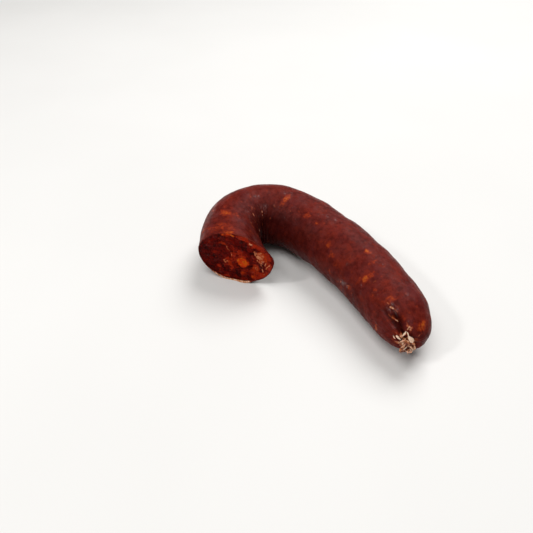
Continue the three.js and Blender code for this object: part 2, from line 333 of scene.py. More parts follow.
class Noise:
    """Smooth random values over space, from -1 to 1, on a lattice that repeats after SIZE cells."""

    SIZE = 64

    def __init__(self, seed):
        random = np.random.default_rng(seed)
        self.values = random.uniform(-1, 1, (self.SIZE,) * 3)
        # Each layer is turned, so that the lattice doesn't show
        self.turn = np.linalg.qr(random.normal(size=(3, 3)))[0]

    def at(self, points):
        cell = np.floor(points).astype(int)
        t = points - cell
        t = t**3 * (t * (t * 6 - 15) + 10)
        total = 0
        for corner in itertools.product((0, 1), repeat=3):
            weight = np.prod(np.where(corner, t, 1 - t), axis=-1)
            i, j, k = np.moveaxis((cell + corner) % self.SIZE, -1, 0)
            total = total + weight * self.values[i, j, k]
        return total

    def layered(self, points, layers=3):
        total = 0
        for i in range(layers):
            points = points @ self.turn
            total = total + self.at(points * 2**i + 17.3 * i) / 2**i
        return total


broad_noise, pebble_noise, wrinkle_noise, edge_noise, fold_noise = (Noise(seed) for seed in range(11, 16))


# The centreline


def curvature(s):
    spread = np.where(s < BEND_AT, BEND_SPREAD_BEFORE, BEND_SPREAD_AFTER)
    near_end = np.clip((s - LENGTH + END_STRETCH) / END_STRETCH, 0, 1)
    return LEG_CURVATURE + BEND_CURVATURE * bell(s - BEND_AT, spread) + END_CURVATURE * near_end


def trace_centreline():
    """Stations along the centreline, with the place and the heading in radians at each."""
    stations = np.arange(0, LENGTH + TRACE_STEP, TRACE_STEP)
    turned = np.cumsum(curvature(stations[:-1] + TRACE_STEP / 2) * TRACE_STEP)
    heading = math.radians(HEADING_AT_CUT) - np.concatenate([[0], turned])
    middle = (heading[1:] + heading[:-1]) / 2
    x = np.concatenate([[0], np.cumsum(np.cos(middle) * TRACE_STEP)])
    y = np.concatenate([[0], np.cumsum(np.sin(middle) * TRACE_STEP)])
    return stations, x, y, heading


STATIONS, CENTRE_X, CENTRE_Y, HEADINGS = trace_centreline()


def place(s, aside, z, ahead):
    """Points beside the centreline: aside is towards the outside of the bend, ahead is along it."""
    x, y, heading = (np.interp(s, STATIONS, values) for values in (CENTRE_X, CENTRE_Y, HEADINGS))
    along_x = np.cos(heading)
    along_y = np.sin(heading)
    x = x - along_y * aside + along_x * ahead
    y = y + along_x * aside + along_y * ahead
    return points_of(x, y, np.maximum(z, 0))


# The skin's section and relief


def radius_at(s):
    before = mix(RADIUS_AT_CUT, RADIUS_IN_BEND, smooth(s, 0, BEND_RADIUS_AT))
    after = mix(RADIUS_IN_BEND, RADIUS_ON_LEG, smooth(s, BEND_RADIUS_AT, LEG_RADIUS_AT))
    past_leg = np.clip((s - LEG_RADIUS_AT) / (LENGTH - LEG_RADIUS_AT), 0, None)
    end = mix(RADIUS_ON_LEG, RADIUS_AT_END, past_leg**1.3)
    return np.where(s < BEND_RADIUS_AT, before, np.where(s < LEG_RADIUS_AT, after, end))


def lumps(s, degrees):
    """Low lumps of the uneven filling, long ones and short ones."""
    a = np.radians(degrees)
    long = np.sin(s / 4.3 + 1.7 * np.cos(a + 0.5)) + 0.8 * np.cos(2 * a + s / 15 + 0.7)
    short = np.sin(s / 2.4 + 2.6 * np.sin(a) + 1.1) * np.cos(3 * a - s / 9)
    return LUMP_HEIGHT * (0.55 * long + 0.5 * short)


def pinch(s, degrees):
    """Behind the cut the skin is drawn in above its inner side, and that side of the cut is pointed."""
    drawn_in = PINCH_DEPTH * bell(turn_between(degrees, PINCH_AT), PINCH_HALF_WIDTH)
    drawn_out = POINT_REACH * bell(turn_between(degrees, POINT_AT), PINCH_HALF_WIDTH)
    return drawn_out * bell(s, PINCH_FADE) - drawn_in * bell(s - PINCH_BEHIND, PINCH_FADE)


def inner_side(degrees, low, high):
    """1 on the side that faces the inside of the bend, fading round it to 0."""
    return smooth(-np.cos(np.radians(degrees) - INNER_TILT), low, high)


def creases(s, degrees):
    """Skin that is pushed together on the inside of the bend folds into sharp valleys."""
    ridge = np.abs(np.sin(np.pi * (s + 1.3 * np.sin(2 * np.radians(degrees))) / CREASE_PITCH))
    depth = CREASE_DEPTH * inner_side(degrees, 0.1, 0.85) * bell(s - BEND_AT, CREASE_SPREAD)
    return depth * (ridge**0.6 - 1)


def gathers(share, ahead, degrees):
    """Pleats, the deep fold and its dimple, all inwards."""
    a = np.radians(degrees)
    pleat = 0.5 + 0.3 * np.cos(5 * a + 0.8) + 0.2 * np.cos(8 * a + 2.1)
    off_fold = turn_between(degrees, VALLEY_AT)
    fold = bell(off_fold, VALLEY_HALF_WIDTH) * smooth(ahead, DIMPLE_AHEAD - 3, DIMPLE_AHEAD + 4)
    off_dimple = np.hypot(ahead - DIMPLE_AHEAD, np.radians(off_fold) * RADIUS_AT_END * share)
    pleats = PLEAT_DEPTH * pleat * bell(share, 0.55)
    return -pleats - VALLEY_DEPTH * fold - DIMPLE_DEPTH * bell(off_dimple, DIMPLE_RADIUS)


def fine_relief(unbent, degrees, fat):
    """Chopped meat and fat pressed against the casing, and the fine folds of the bend."""
    meat = PEBBLE_HEIGHT * pebble_noise.layered(unbent / PEBBLE_SIZE, 3)
    cell = np.array([WRINKLE_PITCH, WRINKLE_LENGTH, WRINKLE_LENGTH])
    valley = np.clip(1 - 2.2 * np.abs(wrinkle_noise.layered(unbent / cell, 2)), 0, 1) ** 2
    near_bend = bell(unbent[..., 0] - BEND_AT, CREASE_SPREAD * 1.3)
    pushed = 0.07 + 1.3 * inner_side(degrees, -0.5, 0.8) * near_bend
    folds = WRINKLE_DEPTH * valley * pushed * (0.6 + 0.4 * broad_noise.at(unbent / 9))
    return meat - folds + FAT_RISE * fat


# Fat under the skin


def hidden_fat():
    """Random pieces of fat on the unseen sides."""
    low = (1.0, 4, HIDDEN_FAT_FROM, 0.7, 0.9, 0.3)
    high = (2.4, LENGTH - 6, HIDDEN_FAT_TO, 1.1, 1.8, 0.9)
    draws = np.random.default_rng(5).uniform(low, high, (HIDDEN_FAT_COUNT, 6))
    return [
        (s, degrees % 360, size * length, size * width, strength)
        for size, s, degrees, length, width, strength in draws
    ]


FAT_PIECES = FAT_SEEN + hidden_fat()


def fat_under(unbent, s, degrees, radius):
    """How much fat lies under the skin, from 0 to 1, with uneven edges."""
    astray = edge_noise.layered(unbent / 3.1, 3)
    astray_too = edge_noise.layered(unbent / 3.1 + 31.7, 3)
    fat = 0.0
    for at_s, at_degrees, half_length, half_width, strength in FAT_PIECES:
        along = (s - at_s) / half_length + FAT_RAGGED * astray
        turn = np.radians(turn_between(degrees, at_degrees))
        around = turn * radius / half_width + FAT_RAGGED * astray_too
        fat = np.maximum(fat, strength * (1 - smooth(np.hypot(along, around), 0.0, 1.85)))
    return fat


# Wet and dry places on the skin, with pale painted glints, and painted shade


def marked(strokes, s, degrees, radius):
    """How much of any stroke lies at a place on the skin, from 0 to 1."""
    amount = 0.0
    for from_s, from_degrees, to_s, to_degrees, half_width, strength in strokes:
        around = np.radians(turn_between(degrees, from_degrees)) * radius
        way_around = math.radians(to_degrees - from_degrees) * radius
        off = off_line(s - from_s, around, to_s - from_s, way_around)
        amount = np.maximum(amount, strength * (1 - smooth(off / half_width, 0.4, 1.5)))
    return amount


def wet_skin(unbent, s, degrees, radius):
    """How wet the skin is, from 0 to 1, also in small random spots."""
    spots = smooth(broad_noise.layered(unbent / 2.2 + 5.0, 2), 0.75, 1.0)
    patchy = 0.15 + 0.85 * smooth(edge_noise.layered(unbent / 1.3 + 3.0, 2), -0.1, 0.5)
    return np.maximum(marked(WET_PLACES, s, degrees, radius) * patchy, 0.18 * spots)


def painted_shade_on_skin(unbent, s, degrees):
    """Painted shade on the skin, from 0 to 1: on the inside of the bend and along the underside."""
    inside = inner_side(degrees, -0.05, 0.75) * np.exp(-(((s - PAINTED_SHADE_AT) / PAINTED_SHADE_SPREAD) ** 4))
    below = 0.45 * smooth(-np.sin(np.radians(degrees)), -0.7, 0.3)
    return np.maximum(inside, below) * (0.8 + 0.2 * broad_noise.at(unbent / 4))


def lip_dryness(s, degrees):
    """The torn lip and the curled edge beside it are dry and pale."""
    return smooth(torn(s, degrees) / LIP_REACH, 0.05, 0.6)


def rim_dryness(unbent, degrees):
    """The casing's cut edge is pale only in places."""
    patches = smooth(edge_noise.layered(unbent / 4, 2), -0.3, 0.6)
    seen = 0.6 * bell(turn_between(degrees, 110), 20) + 0.9 * bell(turn_between(degrees, 285), 30)
    return 0.08 + seen * (0.5 + 0.5 * patches) + 0.2 * patches * bell(turn_between(degrees, 0), 60)


def tail_dryness(distance, degrees):
    """Gathered gut is dry and pale on the crests of the pleats by the tail."""
    a = np.radians(degrees)
    where = points_of(distance / 2.5, 4 * np.cos(a), 4 * np.sin(a))
    crests = smooth(fold_noise.layered(where, 3), 0.0, 0.7)
    return bell(distance, 4.6) * (0.35 + 0.65 * crests) + 0.5 * bell(distance, 8.0) * crests


# The skin's mesh: rings of points from the casing's cut edge to the root of the tail


def torn(s, degrees):
    """How far the lip of skin under the cut, and the curled edge beside it, reach out."""
    lip = LIP_REACH * bell(turn_between(degrees, LIP_AT), LIP_HALF_WIDTH)
    curl = CURL_REACH * bell(turn_between(degrees, CURL_AT), CURL_HALF_WIDTH)
    return (lip + curl) * bell(s, LIP_DEPTH)


def skin_points(s, degrees, inwards=0.0, ahead=0.0, lip=1.0):
    """Points of the round skin, or of a layer under it, with their unbent places and fat."""
    a = np.radians(degrees)
    body = radius_at(s) + lumps(s, degrees) + creases(s, degrees) + pinch(s, degrees)
    # Where it would be on a straight sausage, for patterns that don't bend
    unbent = points_of(s, body * np.cos(a), body * np.sin(a))
    fat = fat_under(unbent, s, degrees, body)
    radius = body + smooth(s, 0, 1.5) * fine_relief(unbent, degrees, fat)
    aside = (radius - inwards) * np.cos(a)
    z = np.maximum(radius_at(s) - FLATTENED + radius * np.sin(a), 0) - inwards * np.sin(a)
    slant = math.tan(math.radians(CUT_SLANT)) * np.exp(-s / SLANT_FADE)
    rim_wave = 0.16 * edge_noise.at(unbent / 2.1) * bell(s, 1.2)
    points = place(s, aside, z, slant * aside - torn(s, degrees) * lip + rim_wave + ahead)
    return points, unbent, fat


def way_to_rim(degrees):
    """The way from the tail's root out to the cap's rim, in the plane of the section."""
    a = np.radians(degrees)
    rim = radius_at(CAP_START)
    aside = rim * np.cos(a) - TAIL_SIDE
    up = rim - FLATTENED + rim * np.sin(a) - TAIL_HEIGHT
    reach = np.hypot(aside, up)
    return reach, aside / reach, up / reach


def fine_gathers(distance, ahead, degrees):
    """Thin pleats that crowd together towards the tail."""
    a = np.radians(degrees)
    wander = 0.5 * fold_noise.at(points_of(ahead / 3, 3 * np.cos(a), 3 * np.sin(a)))
    thin = 0.5 * np.abs(np.sin(9 * a + 2 * wander)) + 0.5 * np.abs(np.sin(14.5 * a + 1 + 3 * wander))
    return -THIN_PLEAT_DEPTH * bell(distance, 8.5) * (1 - thin) ** 1.5


def fold_edges(distance, degrees):
    """The deep fold's sharp edges, its floor and the pit at its top, and the painted shade in the floor
    and pit.
    """
    down_the_fold = smooth(distance, 3, 5.5) * (1 - smooth(distance, FOLD_REACH - 1.5, FOLD_REACH + 1))
    left = bell(np.radians(degrees - FOLD_LEFT) * distance, 0.55)
    right = bell(np.radians(degrees - FOLD_RIGHT) * distance, 0.8)
    floor = smooth(degrees, FOLD_RIGHT + 2, FOLD_RIGHT + 12)
    floor = floor - smooth(degrees, FOLD_LEFT - 9, FOLD_LEFT - 2)
    a = np.radians(degrees - PIT_AT)
    from_pit = np.hypot(distance * np.cos(a) - PIT_DISTANCE, distance * np.sin(a))
    pit = bell(from_pit, PIT_RADIUS)
    brow = bell(from_pit - 1.7 * PIT_RADIUS, 0.55) * smooth(distance, PIT_DISTANCE, PIT_DISTANCE + 1.2)
    raised = FOLD_LEFT_RISE * left + FOLD_RIGHT_RISE * right - FOLD_FLOOR_DEPTH * floor
    edges = raised * down_the_fold - PIT_DEPTH * pit + BROW_RISE * brow
    return edges, np.maximum(0.95 * floor * down_the_fold, pit)


def dome(share, degrees):
    """The cap without relief: its power, how far ahead of the rim it lies, and how thinned it is."""
    blunt = (1 + np.cos(np.radians(degrees - CAP_BLUNTEST_AT))) / 2
    power = mix(CAP_POWER_SLIM, CAP_POWER_BLUNT, blunt)
    ahead = CAP_LENGTH * np.maximum(1 - share**power, 0) ** (1 / power)
    return power, ahead, radius_at(CAP_START + ahead) / radius_at(CAP_START)


def cap_points(ring, degrees):
    """Points of the cap, whose rings close in on the tail's root. ring is 1 at the rim, 0 there."""
    a = np.radians(degrees)
    reach, way_aside, way_up = way_to_rim(degrees)
    share = mix(TAIL_RADIUS / reach, 1, ring)
    distance = share * reach
    power, ahead, thinned = dome(share, degrees)
    s = CAP_START + ahead
    out = distance * thinned

    # Unbent, the cap stays curved, so that its patterns keep their size
    unbent = points_of(s, TAIL_SIDE + way_aside * out, TAIL_HEIGHT + way_up * out - RADIUS_AT_END)
    fat = fat_under(unbent, s, degrees, np.maximum(out, 1))

    # Relief moves the skin square to it: outwards at the rim, ahead at the tail
    facing_ahead = (ahead / CAP_LENGTH) ** (power - 1) / CAP_LENGTH
    facing_out = share ** (power - 1) / reach
    # folded is the painted shade in the fold's floor and its pit
    edges, folded = fold_edges(distance, degrees)
    relief = lumps(s, degrees) * share + gathers(share, ahead, degrees)
    relief += fine_gathers(distance, ahead, degrees) + edges + fine_relief(unbent, degrees, fat)
    move = relief / np.hypot(facing_ahead, facing_out)
    aside = TAIL_SIDE + way_aside * out + mix(way_aside, np.cos(a), share) * move * facing_out
    up = TAIL_HEIGHT + way_up * out + mix(way_up, np.sin(a), share) * move * facing_out
    hollow = HOLLOW_DEPTH * bell(distance, HOLLOW_RADIUS)
    return place(s, aside, up, move * facing_ahead - hollow), unbent, fat, distance, folded


def around_the_section(count):
    return np.arange(count)[None, :] * (360 / count)


def skin_rings():
    """All rings of the skin: points, unbent places, fat, dryness with painted glints, wetness and painted
    shade.
    """
    degrees = around_the_section(AROUND)
    parts = []
    start = np.zeros((1, 1))
    none = np.zeros((1, AROUND))
    for inwards, ahead, lip in RIM_PROFILE:
        points, unbent, fat = skin_points(start, degrees, inwards, ahead, lip)
        dry_and_painted_glints = np.maximum(rim_dryness(unbent, degrees), lip_dryness(start, degrees))
        parts.append((points, unbent, fat, dry_and_painted_glints, none, none))

    near = np.linspace(0, RIM_STRETCH, RIM_RINGS)[:-1]
    rest = np.linspace(RIM_STRETCH, CAP_START, SKIN_RINGS)
    s = np.concatenate([near, rest])[:, None]
    radius = radius_at(s)
    points, unbent, fat = skin_points(s, degrees)
    dry_and_painted_glints = np.maximum(bell(s, 0.3) * rim_dryness(unbent, degrees), lip_dryness(s, degrees))
    # Pale flecks of dry skin, and painted glints
    dry_and_painted_glints = np.maximum(dry_and_painted_glints, marked(PALE_FLECKS_AND_PAINTED_GLINTS, s, degrees, radius))
    wet = wet_skin(unbent, s, degrees, radius)
    parts.append((points, unbent, fat, dry_and_painted_glints, wet, painted_shade_on_skin(unbent, s, degrees)))

    ring = np.cos(np.pi / 2 * np.arange(1, CAP_RINGS + 1) / CAP_RINGS)[:, None]
    points, unbent, fat, distance, folded = cap_points(ring, degrees)
    s = unbent[..., 0]
    radius = np.maximum(distance, 1)
    dry_and_painted_glints = np.maximum(tail_dryness(distance, degrees), marked(PALE_FLECKS_AND_PAINTED_GLINTS, s, degrees, radius))
    # On the cap, the fold's painted shade takes the place of the skin's painted shade
    parts.append((points, unbent, fat, dry_and_painted_glints, wet_skin(unbent, s, degrees, radius), folded))
    return [np.concatenate(values) for values in zip(*parts)]


# The gathered end: a crumpled knob of gut and the strips of it that stand out


def end_points(distance, degrees, lift):
    """Points over the gathered end, by distance from the tail's root and lift above the skin."""
    reach, way_aside, way_up = way_to_rim(degrees)
    _, ahead, thinned = dome(distance / reach, degrees)
    out = distance * thinned
    aside = TAIL_SIDE + way_aside * out
    hollow = HOLLOW_DEPTH * bell(distance, HOLLOW_RADIUS)
    return place(CAP_START + ahead, aside, TAIL_HEIGHT + way_up * out, lift - hollow)


def bezier(points, count):
    """A smooth curve led by a few points."""
    t = np.linspace(0, 1, count)[:, None, None]
    points = np.broadcast_to(points, (count, *np.shape(points)))
    while points.shape[1] > 1:
        points = mix(points[:, :-1], points[:, 1:], t)
    return points[:, 0]


def strip_rings(led_by, half_width, twist, seed):
    """A crumpled strip of gut: rings of a flattened tube that twists along its curve."""
    curve = bezier([end_points(*point) for point in led_by], STRIP_RINGS)
    tangent = np.gradient(curve, axis=0)
    tangent /= np.linalg.norm(tangent, axis=1, keepdims=True)
    out = np.array([math.cos(HEADINGS[-1]), math.sin(HEADINGS[-1]), 0.3])
    flat = np.cross(tangent, out)
    flat /= np.linalg.norm(flat, axis=1, keepdims=True)
    thick = np.cross(flat, tangent)
    along = np.linspace(0, 1, STRIP_RINGS)[:, None, None]
    around = np.linspace(0, 2 * np.pi, STRIP_AROUND, endpoint=False)[None, :, None]
    taper = np.sin(np.pi * np.clip(along, 0.02, 0.98)) ** 0.45
    turned = np.radians(twist) * along
    across = half_width * taper * np.cos(around)
    # The strip is curled across its width like a gutter
    lifted = STRIP_THICKNESS * taper * np.sin(around) + 0.35 * across**2 / half_width
    side = across * np.cos(turned) - lifted * np.sin(turned)
    up = across * np.sin(turned) + lifted * np.cos(turned)
    rings = curve[:, None] + flat[:, None] * side + thick[:, None] * up
    crumple = np.stack([fold_noise.layered(rings / 0.9 + 7 * i + seed, 2) for i in range(3)], axis=-1)
    return rings + STRIP_CRUMPLE * crumple


def loose_strips():
    """Random loops that fill the knob between the listed strips."""
    random = np.random.default_rng(21)
    strips = []
    for _ in range(LOOSE_STRIPS):
        turn = random.uniform(0, 360)
        swing = random.uniform(-150, 150)
        led_by = [
            (random.uniform(0.8, 2.5), turn, random.uniform(1.0, 2.6)),
            (random.uniform(2.6, 4.6), turn + 0.3 * swing, random.uniform(1.6, 3.4)),
            (random.uniform(2.6, 4.6), turn + 0.7 * swing, random.uniform(1.2, 3.4)),
            (random.uniform(1.2, 3.6), turn + swing, random.uniform(0.8, 2.4)),
        ]
        half_width = random.uniform(0.3, 0.6)
        twist = random.uniform(-160, 160)
        strips.append((led_by, half_width, twist, random.uniform(0.1, 0.65)))
    return strips


def knob_points(way, degrees):
    """The knob and how pale it is, with painted shade in its crevices. way runs from 0 at its root to 1
    at its end's middle.
    """
    steps = np.linspace(0, 1, len(KNOB_AHEAD))
    ahead = np.interp(way, steps, KNOB_AHEAD)
    radius = np.interp(way, steps, KNOB_RADIUS)
    a = np.radians(degrees)
    _, way_aside, way_up = way_to_rim(degrees)
    folded = radius * (1 + 0.17 * np.cos(5 * a + 0.6 + 0.3 * ahead) + 0.1 * np.cos(3 * a + 2))
    where = points_of(ahead, way_aside * folded, way_up * folded)
    crumple = fold_noise.layered(where / 1.5, 3)
    folds = 0.9 * (np.abs(crumple) - 0.35)
    grown = folded * (1 + 0.22 * folds)
    deeper = ahead + 0.8 * folds * smooth(way, 0.3, 0.8)
    height = TAIL_HEIGHT - TAIL_DROOP * ahead + way_up * grown
    points = place(LENGTH, TAIL_SIDE + way_aside * grown, height, deeper - HOLLOW_DEPTH)
    return points, smooth(folds, -0.25, 0.35)


# The cut face


class Cells:
    """Chunks of chopped meat: for each point, a value of its chunk and how far its edge is."""

    SIZE = 32

    def __init__(self, seed):
        random = np.random.default_rng(seed)
        self.offsets = random.uniform(0.1, 0.9, (self.SIZE, self.SIZE, 2))
        self.values = random.uniform(0, 1, (self.SIZE, self.SIZE))

    def at(self, points):
        cell = np.floor(points).astype(int)
        nearest = np.full(points.shape[:-1], 9.0)
        second = nearest
        value = 0.0
        for step in itertools.product((-1, 0, 1), repeat=2):
            there = cell + step
            i, j = np.moveaxis(there % self.SIZE, -1, 0)
            distance = np.linalg.norm(there + self.offsets[i, j] - points, axis=-1)
            closer = distance < nearest
            second = np.where(closer, nearest, np.minimum(second, distance))
            value = np.where(closer, self.values[i, j], value)
            nearest = np.minimum(nearest, distance)
        return value, second - nearest


chunk_cells = Cells(31)
crumb_cells = Cells(32)


def spot(across, height, at_across, at_height, half_across, half_height, tilt):
    """1 inside an oval spot on the cut face, fading over its edge."""
    turned = math.radians(tilt)
    x = across - at_across
    y = height - at_height
    along = (x * math.cos(turned) + y * math.sin(turned)) / half_across
    beside = (y * math.cos(turned) - x * math.sin(turned)) / half_height
    return 1 - smooth(np.hypot(along, beside), 0.65, 1.2)


def streak(across, height, from_across, from_height, to_across, to_height, half_width):
    """1 on a thin line, fading beside it."""
    way = (to_across - from_across, to_height - from_height)
    return 1 - smooth(off_line(across - from_across, height - from_height, *way) / half_width, 0.5, 1.3)


def strongest(marks, shape, across, height):
    """The strongest of some spots or streaks at each place of the cut face."""
    amounts = [strength * shape(across, height, *where) for *where, strength in marks]
    return np.max(amounts, axis=0)


def face_grain(across, height):
    """The part's own relief of the cut meat."""
    coarse = np.sin(across / 1.9 + 1.3 * np.sin(height / 3.1)) * np.cos(height / 2.3 + 0.7)
    broad = np.sin(across / 5.3 + height / 7.1 + 0.4)
    return GRAIN_HEIGHT * (0.7 * coarse + 0.6 * broad)


def random_crumbs():
    """Small bits of fat scattered over the cut face."""
    low = (0.25, -20, 1, 0.6, 0, 0.15)
    high = (0.75, 20, 35, 1.6, 180, 0.6)
    draws = np.random.default_rng(41).uniform(low, high, (CRUMB_COUNT, 6))
    return [
        (across, height, size, size * stretch, tilt, strength)
        for size, across, height, stretch, tilt, strength in draws
    ]


def face_patterns(plane):
    """Orange fat, pale fat with a painted glint, brightness of the lean meat and its seams, at each place
    of the face.
    """
    across, height, _ = np.moveaxis(plane, -1, 0)
    # Places astray of their own give the pieces uneven edges
    astray = 0.9 * edge_noise.layered(plane / 1.9, 3)
    astray_too = 0.9 * edge_noise.layered(plane / 1.9 + 13.1, 3)
    place_on = (across + astray, height + astray_too)
    orange = strongest(ORANGE_FAT + random_crumbs(), spot, *place_on)
    bright = strongest(BRIGHT_LEAN, spot, *place_on)
    broken = np.clip(0.85 + 0.7 * edge_noise.layered(plane / 0.9 + 5.0, 2), 0.3, 1.1)
    pieces = broken * strongest(PALE_FAT_AND_GLINT, spot, *place_on)
    patchy = np.clip(0.65 + 0.9 * edge_noise.layered(plane / 1.4 + 41.0, 2), 0.1, 1)
    streaks = patchy * strongest(PALE_STREAKS, streak, across + astray / 2, height + astray_too / 2)
    pale = np.maximum(pieces, streaks)
    chunk, chunk_edge = chunk_cells.at(points_of(*place_on) / 3.4)
    crumb, crumb_edge = crumb_cells.at(points_of(*place_on) / 1.25)
    lean = 0.42 * chunk + 0.3 * crumb + 0.28 * (0.5 + 0.5 * edge_noise.at(plane / 5))
    lean = lean * (1 - 0.35 * smooth(across, 2, 14))
    lean = np.clip(lean * (1 - 0.5 * bright) + 0.85 * bright, 0, 1.2)
    seams_and_hole_shade = np.maximum(1 - smooth(chunk_edge, 0.0, 0.13), 0.5 * (1 - smooth(crumb_edge, 0.0, 0.16)))
    return orange, pale, lean, seams_and_hole_shade


def face_points(share, degrees):
    """Points of the cut meat, inside the casing, with their places on the face and its patterns."""
    a = np.radians(degrees)
    slant = math.radians(CUT_SLANT)
    rim = RADIUS_AT_CUT + lumps(0, degrees) + pinch(0, degrees)
    middle = RADIUS_AT_CUT - FLATTENED
    inside = CASING_THICKNESS * 0.9
    rim_height = np.maximum(middle + rim * np.sin(a), 0) - inside * np.sin(a)
    aside = share * (rim - inside) * np.cos(a)
    height = mix(middle, rim_height, share)
    across = aside / math.cos(slant)
    plane = points_of(across, height, 0.0)
    orange, pale, lean, seams_and_hole_shade = face_patterns(plane)
    relief = face_grain(across, height) * (1 - share**8)
    relief += FINE_GRAIN_HEIGHT * pebble_noise.layered(plane / 1.1, 3)
    relief += CHUNK_RISE * (lean - 0.5) - SEAM_DEPTH * seams_and_hole_shade + FACE_FAT_RISE * np.maximum(orange, pale)
    wet = 0.0
    for at_across, at_height, radius in WET_DROPS:
        drop = bell(np.hypot(across - at_across, height - at_height), radius)
        relief += DROP_HEIGHT * drop
        wet = np.maximum(wet, smooth(drop, 0.1, 0.4))
    # Holes sink the face, and their painted shade joins the seams
    for at_across, at_height, radius in HOLES:
        hole = bell(np.hypot(across - at_across, height - at_height), radius)
        relief -= HOLE_DEPTH * hole
        seams_and_hole_shade = np.maximum(seams_and_hole_shade, 1.6 * hole)
    relief = relief * (1 - share**24) - FACE_SUNK - FACE_TUCKED * smooth(share, 0.992, 1)
    # Relief stands out square to the slanted face
    ahead = math.tan(slant) * aside - relief * math.cos(slant)
    points = place(0, aside + relief * math.sin(slant), height, ahead)
    return points, plane, {"orange": orange, "pale": pale, "lean": lean, "seams_and_hole_shade": seams_and_hole_shade, "wet": wet}


# Turning points into meshes, in metres and in the part's frame


def shift_to_part(skin):
    """From the centreline's coordinates to the part's, by three sides that the skin reaches."""
    low, high = (np.array(corner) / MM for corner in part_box("sausage"))
    x = (low[0] + high[0] - skin[..., 0].min() - skin[..., 0].max()) / 2
    y = high[1] - skin[..., 1].max()
    return np.array([x, y, 0])


def ring_faces(rings, around, first=0):
    """Four-cornered faces between rings of points that close around. first is their first point."""
    ring, i = np.meshgrid(np.arange(rings - 1), np.arange(around), indexing="ij")
    here = first + ring * around
    after = (i + 1) % around
    corners = [here + i, here + after, here + around + after, here + around + i]
    return np.stack(corners, axis=-1).reshape(-1, 4).tolist()


def add_object(name, data):
    """A new object in the scene."""
    added = bpy.data.objects.new(name, data)
    bpy.context.scene.collection.objects.link(added)
    return added


def make_piece(name, points, faces, places, amounts, material):
    """A piece of the sausage, whose points keep places and amounts for the material's patterns."""
    mesh = bpy.data.meshes.new(name)
    mesh.from_pydata((points.reshape(-1, 3) * MM).tolist(), [], faces)
    mesh.shade_smooth()
    for kind, key, kept in (("FLOAT_VECTOR", "vector", places), ("FLOAT", "value", amounts)):
        for title, values in kept.items():
            layer = mesh.attributes.new(title, kind, "POINT")
            layer.data.foreach_set(key, values.astype(np.float32).ravel())
    mesh.materials.append(material)
    piece = add_object(name, mesh)
    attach(piece, "root")
    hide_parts("sausage")


def make_skin(material):
    points, unbent, fat, dry_and_painted_glints, wet, painted_shade = skin_rings()
    shift = shift_to_part(points)
    faces = ring_faces(*points.shape[:2])
    amounts = {"fat": fat, "dry_and_painted_glints": dry_and_painted_glints, "wet": wet, "painted_shade": painted_shade}
    make_piece("skin", points + shift, faces, {"unbent": unbent}, amounts, material)
    return shift


def make_face(shift, material):
    share = (1 - (1 - np.linspace(0, 1, FACE_RINGS)) ** 1.15)[:, None]
    points, plane, amounts = face_points(np.maximum(share, 0.002), around_the_section(FACE_AROUND))
    # The last face closes the small hole in the middle
    faces = ring_faces(*points.shape[:2]) + [list(range(FACE_AROUND))[::-1]]
    make_piece("cut_meat", points + shift, faces, {"plane": plane}, amounts, material)


def make_gut(shift, material):
    """The knob and its strips, joined into one piece."""
    knob, pale = knob_points(np.linspace(0, 1, KNOB_RINGS)[:, None], around_the_section(KNOB_AROUND))
    groups = [knob.reshape(-1, 3)]
    # The knob's tone is low in its crevices: painted shade
    tones = [pale.ravel() * 0.75 - 0.55]
    faces = ring_faces(KNOB_RINGS, KNOB_AROUND)
    first = KNOB_RINGS * KNOB_AROUND
    for seed, (led_by, half_width, twist, tone) in enumerate(STRIPS_SEEN + loose_strips()):
        groups.append(strip_rings(led_by, half_width, twist, seed).reshape(-1, 3))
        tones.append(np.full(STRIP_RINGS * STRIP_AROUND, tone))
        faces += ring_faces(STRIP_RINGS, STRIP_AROUND, first)
        first += STRIP_RINGS * STRIP_AROUND
    points = np.concatenate(groups)
    amounts = {"tone": np.concatenate(tones)}
    make_piece("gathered_gut", points + shift, faces, {"unbent": points}, amounts, material)


# Materials


